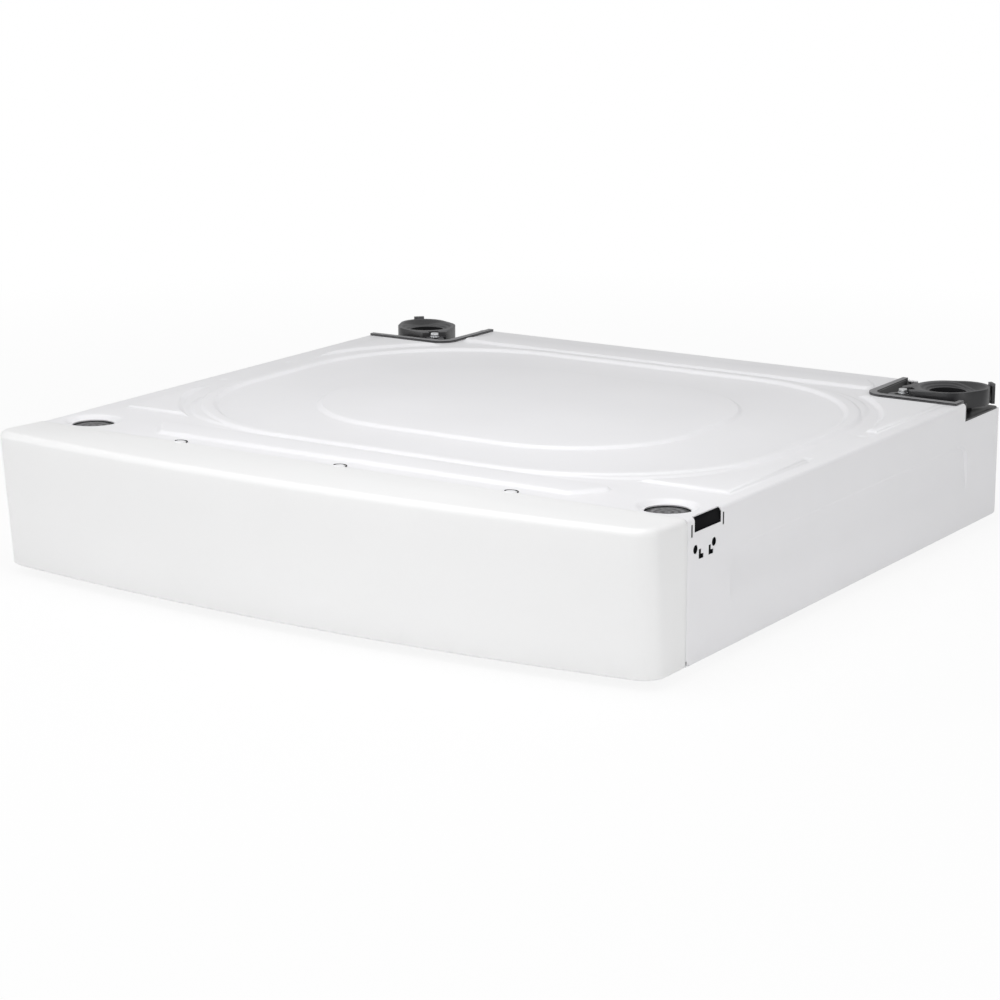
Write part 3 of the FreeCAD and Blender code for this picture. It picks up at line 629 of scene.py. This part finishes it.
ring = rectangle(ring_x, ring_y)
plateau = rectangle(plateau_x, plateau_y)
rear_band = [(-band_wide, band_front), (band_wide, band_front),
             (band_narrow, band_rear), (-band_narrow, band_rear)]


def crescent_centre(side_x, side_y):
    away = (ring_radius + crescent_reach - crescent_radius) / math.sqrt(2)
    return side_x * (ring_x + away), side_y * (ring_y + away)


def corner_loop(side_x, side_y, grow):
    radius = corner_radius - grow
    right, far, tip = corner_side[side_x] + grow, corner_far + grow, corner_tip - grow
    low = math.degrees(math.asin((tip - ring_y) / radius))
    high = math.degrees(math.asin((far - ring_y) / radius))
    loop = [(right, tip), (right, far)] + arc(ring_x, ring_y, radius, high, low, 3.0)
    return [(side_x * a, side_y * b) for a, b in loop]


def emboss_lines():
    lines = []
    for s in steps * emboss_run:
        lines.append((hull_loop(plateau, plateau_radius + s), True))
        lines.append((hull_loop(ring, ring_radius + ring_half + s), True))
        lines.append((hull_loop(ring, ring_radius - ring_half + s), True))
        band = hull_loop(rear_band, band_radius + s + emboss_run / 2, 15.0)
        lines += [(band, True), ([(a, -b) for a, b in band], True)]
        for a, b in corners:
            lines.append((corner_loop(a, b, s), True))
            heading = math.degrees(math.atan2(b, a))
            centre = crescent_centre(a, b)
            ends = heading - crescent_spread, heading + crescent_spread
            lines.append((arc(*centre, crescent_radius + s, *ends, 3.0), False))
    return lines


def emboss_heights(x, y):
    """Height of the deck's pattern at points measured from the middle of the ring."""

    def boss(distance, height):
        return height * ease(0.5 - distance / emboss_run)

    to_ring = hull_distance(x, y, ring) - ring_radius
    height = boss(hull_distance(x, y, plateau) - plateau_radius, emboss_height)
    height = np.maximum(height, boss(np.abs(to_ring) - ring_half, emboss_height))
    to_band = hull_distance(x, np.abs(y), rear_band) - (band_radius + emboss_run / 2)
    height = np.maximum(height, boss(to_band, emboss_height))
    for a, b in corners:
        centre_x, centre_y = crescent_centre(a, b)
        from_centre = np.hypot(x - centre_x, y - centre_y)
        lens = np.maximum(from_centre - crescent_radius, -to_ring)
        height = np.maximum(height, boss(lens, crescent_height))
        hollow = corner_radius - np.hypot(a * x - ring_x, b * y - ring_y)
        along_x = np.maximum(a * x - corner_side[a], ring_x - a * x)
        along_y = np.maximum(b * y - corner_far, corner_tip - b * y)
        to_corner = np.maximum(hollow, np.maximum(along_x, along_y))
        height = np.maximum(height, boss(to_corner, emboss_height))
    return height


print("embosses:", len(emboss_lines()), "press lines")

# %% [markdown]
# ## Deck: holes, flares and rolled edges
# Two round holes near the front are flared down over the foot cups. Small locating dimples sit near
# the left and right edges. The left, right and rear edges are rolled over, so the blank carries on
# past the flat and the extra width is bent round a quarter circle.

# %% Deck sheet
dish_hole, dish_edge, dish_depth = 20.2, 29.0, 4.0
dimple_radius, dimple_depth = 6.5, 0.9
dimple_x, dimple_rows = 334.0, (258.0, 368.0)
dimple_rings = (1.2, 2.6, 4.0, 5.3, dimple_radius)
dimples = [(a * dimple_x, seam_y + b) for a in (-1, 1) for b in dimple_rows]
dishes = [(-cup_x, front_foot_y), (cup_x, front_foot_y)]
flat_x, flat_y = half_width - fold_radius, rear_y - fold_radius
roll_length = fold_radius * math.pi / 2
tray_lap, tray_corner, fold_margin = 5.0, 15.0, 5.5
slot_half = 23.0
lap_inset, lap_reach = 8.0, 14.0
lap_x, lap_y = half_width - lap_inset, seam_y - lap_reach


def deck_outline():
    """Right half of the blank's outline from the middle of the front, mirrored to the left."""
    wide, deep = flat_x + roll_length, flat_y + roll_length
    well_x, well_y = tray_low[0] + tray_lap, tray_low[1] + tray_lap
    edge_x, edge_y = half_width - fold_margin, rear_y - fold_margin
    right = [(lap_x, lap_y), (lap_x, seam_y), (wide, seam_y), (wide, front_foot_y - slot_half),
             (flat_x, front_foot_y - slot_half), (flat_x, front_foot_y + slot_half),
             (wide, front_foot_y + slot_half), (wide, notch_y), (edge_x, notch_y), (edge_x, well_y)]
    right += arc(well_x + tray_corner, well_y + tray_corner, tray_corner, 270, 180, 10.0)
    right += [(well_x, edge_y), (notch_x, edge_y), (notch_x, deep)]
    return right + [(-x, y) for x, y in reversed(right)]


def deck_lines():
    lines = [([(x, y + pattern_y) for x, y in line], loops) for line, loops in emboss_lines()]
    for s in np.linspace(0, roll_length, 6)[:-1]:
        for side in (-1, 1):
            for y0, y1 in ((seam_y, front_foot_y - slot_half), (front_foot_y + slot_half, notch_y)):
                lines.append(([(side * (flat_x + s), y0), (side * (flat_x + s), y1)], False))
        lines.append(([(-notch_x, flat_y + s), (notch_x, flat_y + s)], False))
    for x, y in dishes:
        lines += [(circle(x, y, r), True) for r in np.linspace(dish_hole, dish_edge, 9)[1:]]
    for x, y in dimples:
        lines += [(circle(x, y, r, 20.0), True) for r in dimple_rings]
    return lines


def roll_over(place, flat, radius):
    """Bends what lies past the flat round a quarter circle: (new place, drop)."""
    turn = np.clip((np.abs(place) - flat) / radius, 0, math.pi / 2)
    bent = np.where(np.abs(place) > flat, np.sign(place) * (flat + radius * np.sin(turn)), place)
    return bent, radius * (1 - np.cos(turn))


def press_deck():
    holes = [circle(x, y, dish_hole) for x, y in dishes]
    places, faces = flat_blank(deck_outline(), holes, deck_lines())
    x, y = places[:, 0], places[:, 1]
    z = deck_z + emboss_heights(x, y - pattern_y)
    for a, b in dishes:
        z = z - dish_depth * ease((dish_edge - np.hypot(x - a, y - b)) / (dish_edge - dish_hole + 1))
    for a, b in dimples:
        z = z - dimple_depth * ease(1 - np.hypot(x - a, y - b) / dimple_radius)
    x, side_drop = roll_over(x, flat_x, fold_radius)
    bent_y, rear_drop = roll_over(np.maximum(y, 0), flat_y, fold_radius)
    y = np.where(y > 0, bent_y, y)
    return np.column_stack([x, y, z - side_drop - rear_drop]), faces


points, faces = press_deck()
add_piece("deck_sheet", points, faces, white_steel, ["deck_panel"],
          thickness=sheet)

# %% [markdown]
# ## Side panels
# Each side is an upright sheet with a long shallow pad pressed in, crisp along its top and ends and
# fading out along its bottom. It has an opening at the top beside the front cup, a slit on either side
# of it, and two round and two hooked holes under it. Its bottom and front edges are turned in round a
# small bend, which gives the fine bright line beside the cover.

# %% Side panel
bend = 1.6
side_gauge = 0.5
pad_depth, pad_run, pad_radius = 3.4, 2.8, 20.0
pad_front, pad_rear, pad_bottom, pad_top = 77, 73, 30, 86
pad_near, pad_end = seam_y + pad_front + pad_radius, rear_y - pad_rear - pad_radius
pad_low, pad_high = bottom_z + pad_bottom + pad_radius, bottom_z + pad_top - pad_radius
pad = [(pad_near, pad_low), (pad_end, pad_low), (pad_end, pad_high), (pad_near, pad_high)]
pad_fade = 38.0
bend_length = bend * math.pi / 2
bend_y, bend_z = seam_y + bend, bottom_z + bend
bottom_flange, front_flange = 10.0, 5.0
tab_near, tab_far, tab_low = seam_y + 6, rear_y - 3, bend_z + 4
slot_depth = 13.2


def side_outline():
    """Blank of a side, as (depth, height), with tabs past the bottom and front bends."""
    low = bend_z - bend_length - bottom_flange
    near = bend_y - bend_length - front_flange
    slot_z = deck_z - slot_depth
    return [(tab_near, bend_z), (tab_near, low), (tab_far, low), (tab_far, bend_z),
            (rear_y, bend_z), (rear_y, notch_z), (notch_y, notch_z),
            (notch_y, panel_top_z), (front_foot_y + slot_half, panel_top_z),
            (front_foot_y + slot_half, slot_z), (front_foot_y - slot_half, slot_z),
            (front_foot_y - slot_half, panel_top_z), (bend_y, panel_top_z), (near, panel_top_z),
            (near, tab_low), (bend_y, tab_low), (bend_y, bend_z)]


slit_reach, slit_drop, slit_half, slit_length = 27.2, 5.5, 1.4, 11
hole_shift, hole_pitch, hole_drop, hole_radius = 4.8, 16.0, 28.0, 3.9
hook_shift, hook_pitch, hook_drop = 2.4, 8.5, 37.7
hook_width, hook_height, hook_stem, hook_foot = 8.4, 8.6, 4.2, 3.8


def side_holes():
    """A slit, a round hole and a hooked hole, each twice, as (depth, height)."""
    holes = []
    for k in (-1, 1):
        y, z = front_foot_y + k * slit_reach, deck_z - slit_drop
        holes.append([(y - slit_half, z - slit_length), (y + slit_half, z - slit_length),
                      (y + slit_half, z), (y - slit_half, z)])
        y = front_foot_y - hole_shift + k * hole_pitch
        holes.append(circle(y, deck_z - hole_drop, hole_radius, 15.0))
        y, z = front_foot_y - hook_shift + k * hook_pitch - hook_stem, deck_z - hook_drop
        holes.append([(y, z), (y + hook_width, z), (y + hook_width, z + hook_foot),
                      (y + hook_stem, z + hook_stem), (y + hook_stem, z + hook_height),
                      (y, z + hook_height)])
    return holes


def press_side(side):
    lines = [(hull_loop(pad, pad_radius + s, 9.0), True) for s in steps * pad_run]
    for z in pad_low - pad_radius + pad_fade * np.linspace(0.05, 1, 9):
        lines.append(([(pad_near - pad_radius, z), (pad_end + pad_radius, z)], False))
    for s in np.linspace(0, bend_length, 5):
        lines.append(([(tab_near, bend_z - s), (tab_far, bend_z - s)], False))
        lines.append(([(bend_y - s, tab_low), (bend_y - s, panel_top_z)], False))
    places, faces = flat_blank(side_outline(), side_holes(), lines)
    y, z = places[:, 0], places[:, 1]
    inward = pad_depth * ease(0.5 - (hull_distance(y, z, pad) - pad_radius) / pad_run)
    inward = inward * ease((z - pad_low + pad_radius) / pad_fade)

    def turn_in(distance):
        turn = np.clip(distance / bend, 0, math.pi / 2)
        past = np.maximum(distance - bend_length, 0)
        return bend * np.sin(turn), np.where(distance > 0, bend * (1 - np.cos(turn)) + past, 0)

    down, in_low = turn_in(bend_z - z)
    near, in_near = turn_in(bend_y - y)
    z = np.where(z < bend_z, bend_z - down, z)
    y = np.where(y < bend_y, bend_y - near, y)
    x = side * (half_width - inward - in_low - in_near)
    return np.column_stack([x, y, z]), faces if side > 0 else faces[:, ::-1]


for side, word in ((-1, "left"), (1, "right")):
    points, faces = press_side(side)
    add_piece(word + "_side_sheet", points, faces, white_steel, [word + "_side_panel"],
              thickness=side_gauge)

# %% [markdown]
# ## Front cover
# The cover is one moulding: a bowed, slightly leaning front, rounded ends that meet the sides, a
# softly rolled top edge and a roof that runs back over the deck to three screws. Rings of points,
# each a plan outline at one height, are joined into a skin, and the flat roof closes it.

# %% Plan outline of the cover
bow_radius, end_radius = 2500.0, 21.0
cover_lean, top_roll, cover_lip, cover_rise = 12.0, 7.0, 1.5, 3.5
foot_roll, foot_inset, cover_gap = 2.5, 13.0, 0.6
cover_wall, cover_bevel = 1.4, 0.35
cover_depth = seam_y - front_y
cover_back = seam_y - cover_gap


def cover_ring(inset, front, back):
    """Plan outline from the right end round the front to the left end, drawn in by inset."""
    half, radius = half_width - inset, end_radius - inset
    x = half - radius
    middle = front + bow_radius
    y = middle - math.sqrt((bow_radius - inset - radius) ** 2 - x * x)
    turn = math.degrees(math.atan2(y - middle, x))
    ends = [(half, back + (y - back) * t) for t in np.linspace(0, 1, 7)[:-1]]
    right = ends + arc(x, y, radius, 0, turn, 6.0)
    bow = arc(0, middle, bow_radius - inset, turn, -90, 0.4)[1:-1]
    half_ring = right + bow
    return half_ring + [(0, front + inset)] + [(-a, b) for a, b in reversed(half_ring)]


def roof_z(y):
    return deck_z + cover_lip + cover_rise * (seam_y - y) / cover_depth


print(f"cover depth {cover_depth:.1f} mm")

# %% [markdown]
# ## Cover skin
# The rings go from a lip under the cover, round its rolled foot, up the leaning wall and over the rolled
# top edge. Each ring has the same number of points, so neighbouring rings are joined by quads.

# %% Cover skin
def cover_skin():
    rings = []
    wall_top = deck_z + cover_lip + cover_rise - top_roll

    def front_at(z):
        return front_y + cover_lean * (wall_top - z) / (wall_top - bottom_z)

    def level_ring(inset, height):
        return [(x, y, height) for x, y in cover_ring(inset, front_at(height), cover_back)]

    rings.append(level_ring(foot_inset, bottom_z))
    for turn in np.radians([90, 67, 45, 22, 0]):
        inset = foot_roll * (1 - math.cos(turn))
        rings.append(level_ring(inset, bottom_z + foot_roll * (1 - math.sin(turn))))
    for height in np.linspace(bottom_z + foot_roll, wall_top, 6)[1:-1]:
        rings.append(level_ring(0.0, height))
    for turn in np.radians(np.linspace(0, 90, 9)):
        inset = top_roll * (1 - math.cos(turn))
        plan = cover_ring(inset, front_y, cover_back)
        rings.append([(x, y, roof_z(y) - top_roll * (1 - math.sin(turn))) for x, y in plan])
    return rings


rings = cover_skin()
count = len(rings[0])
points = [point for outline in rings for point in outline]
faces = []
for r in range(len(rings) - 1):
    for k in range(count - 1):
        a = r * count + k
        faces.append((a, a + count, a + count + 1, a + 1))
print("cover skin:", len(rings), "rings of", count, "points")

# %% [markdown]
# ## Roof and screw ears
# The roof ends in a straight rear edge with three round ears that reach onto the deck. Ears and roof
# lie in one sloping plane, so a single many-sided face is enough.

# %% Close the roof
screw_places = [-181.5, 0.0, 181.5]
ear_radius = 6.5
last = (len(rings) - 1) * count
rear_edge = []
for x in screw_places:
    rear_edge += arc(x, cover_back, ear_radius, 180, 0, 10.0)
first_ear = len(points)
points += [(x, y, roof_z(y)) for x, y in rear_edge]
roof = list(range(last, last + count)) + list(range(first_ear, first_ear + len(rear_edge)))
faces.append(roof[::-1])
add_piece("front_cover", points, faces, white_cover, ["front_fascia"],
          thickness=cover_wall, bevel=cover_bevel, degrees=40)

# %% [markdown]
# ## Painted shadow behind the ears
# A thin dark bead behind each screw ear, where the ear meets the deck, is a painted shadow line. It is
# a bead of a few sides swept along the ear's rear edge, so it reads as a fine line from every side.

# %% Beads behind the ears
shade_bead_radius, shade_bead_sides, shade_bead_lift = 0.55, 6, 0.2
shade_bead_start, shade_bead_end = 172, 4


def swept_bead(path, radius, sides):
    """Tube along a level path of (x, y, z) points, closed at both ends: (points, faces)."""
    points, faces = [], []
    for k, (x, y, z) in enumerate(path):
        before, after = path[max(k - 1, 0)], path[min(k + 1, len(path) - 1)]
        heading = math.atan2(after[1] - before[1], after[0] - before[0])
        for j in range(sides):
            turn = 2 * math.pi * j / sides
            out, up = radius * math.cos(turn), radius * math.sin(turn)
            points.append((x + out * math.sin(heading), y - out * math.cos(heading), z + up))
    for k in range(len(path) - 1):
        for j in range(sides):
            a, b = k * sides + j, k * sides + (j + 1) % sides
            faces.append((a, b, b + sides, a + sides))
    faces.append(tuple(reversed(range(sides))))
    faces.append(tuple(range(len(points) - sides, len(points))))
    return points, faces


points, faces = [], []
for x in screw_places:
    edge = arc(x, cover_back, ear_radius + shade_bead_lift, shade_bead_start, shade_bead_end, 8.0)
    path = [(a, b, roof_z(b) + shade_bead_lift) for a, b in edge]
    bead, skin = swept_bead(path, shade_bead_radius, shade_bead_sides)
    faces += [tuple(k + len(points) for k in face) for face in skin]
    points += bead
# The beads take the near-black painted-shade plastic: they are painted shadow, not a part of the cover.
add_piece("screw_ear_shadow_beads", points, faces, painted_shade_plastic)

# %% [markdown]
# ## Rounded copies
# Moulded and folded pieces whose solids already have the right shape only need softer edges. A copy
# of the solid's mesh is welded, its flat triangles are merged, and its sharp edges are bevelled.


# %% Rounded copy of a solid
def rounded_copy(node, width, finish, body="cabinet", degrees=35, reshape=None):
    """Copy of a node's mesh with soft edges; reshape moves a point given in millimetres."""
    work = bmesh.new()
    work.from_mesh(nodes[node].data)
    if reshape:
        for vert in work.verts:
            vert.co = Vector(reshape(*(vert.co / MM))) * MM
    bmesh.ops.remove_doubles(work, verts=work.verts, dist=1e-6)
    bmesh.ops.dissolve_limit(work, angle_limit=math.radians(1.0), verts=work.verts, edges=work.edges)
    limit = math.radians(degrees)
    sharp = [e for e in work.edges if len(e.link_faces) == 2 and e.calc_face_angle(0) > limit]
    bmesh.ops.bevel(work, geom=sharp, offset=width * MM, offset_type="OFFSET", segments=2, profile=0.5,
                    affect="EDGES", clamp_overlap=True)
    mesh = bpy.data.meshes.new(node + "_soft")
    work.to_mesh(mesh)
    work.free()
    if "custom_normal" in mesh.attributes:
        mesh.attributes.remove(mesh.attributes["custom_normal"])
    mesh.materials.clear()
    mesh.materials.append(finish)
    mesh.polygons.foreach_set("material_index", [0] * len(mesh.polygons))
    shade_by_angle(mesh, 40)
    piece = bpy.data.objects.new(node + "_soft", mesh)
    bpy.context.scene.collection.objects.link(piece)
    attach(piece, body)
    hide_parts(node)
    print(f"{piece.name}: {len(mesh.polygons)} faces")


print("rounded copies ready")

# %% [markdown]
# ## Small changes to the copies
# Three details are shaped on the copies: the flange of a tray stops short at its ends, the clip behind
# a cup stands a little above its rim, and the pan heads of the cover's screws are pressed flat.

# %% Reshape and copy
clip_rise, clip_start = 2.6, 44.0
flange_width, return_reach, on_deck = 6.0, 12.0, deck_z - 0.05
head_flat = 0.35


def draw_in_flange(x, y, z):
    """The flange's short returns along the rear and the left edge end with the flange's own width."""
    most_x, most_y = tray_low[0] + flange_width, tray_low[1] + flange_width
    if z > on_deck and y > rear_y - return_reach and abs(x) > most_x:
        x = math.copysign(most_x, x)
    if z > on_deck and x < return_reach - half_width and y > most_y:
        y = most_y
    return x, y, z


def raise_clip(x, y, z):
    outward = (abs(x) - cup_x + y - rear_foot_y) / math.sqrt(2)
    return x, y, z + clip_rise if outward > clip_start and z > deck_z else z


def flatten_head(x, y, z):
    seat = deck_z + cover_lip
    return x, y, seat + (z - seat) * head_flat if z > seat else z


for word in ("left", "right"):
    rounded_copy(word + "_front_foot_cup", 0.6, painted_shade_plastic)
    rounded_copy(word + "_front_cup_pad", 0.6, grey_pad)
    rounded_copy(word + "_rear_tray", 0.4, tray_plastic, reshape=draw_in_flange)
    rounded_copy(word + "_rear_foot_cup", 0.5, black_plastic, word + "_rear_cup",
                 reshape=raise_clip)
for node in ("rear_cup_bolts", "rear_cup_washers"):
    rounded_copy(node, 0.3, zinc_steel)
rounded_copy("fascia_screws", 0.2, white_steel, reshape=flatten_head)

# %% [markdown]
# ## Pieces that keep their solid
# The back panel and what sits underneath have the right shape already, so the CAD nodes stay and only
# get their finish.

# %% Finish the remaining nodes
finish_of = {"white_steel": white_steel, "zinc_steel": zinc_steel, "foot_rubber": foot_rubber}
for row in frame["record"]["subparts"]:
    node = nodes[row["node"]]
    if not node.hide_render:
        node.data.materials.clear()
        node.data.materials.append(finish_of[row["material_slot"]])
        print(row["node"], "takes", row["material_slot"])
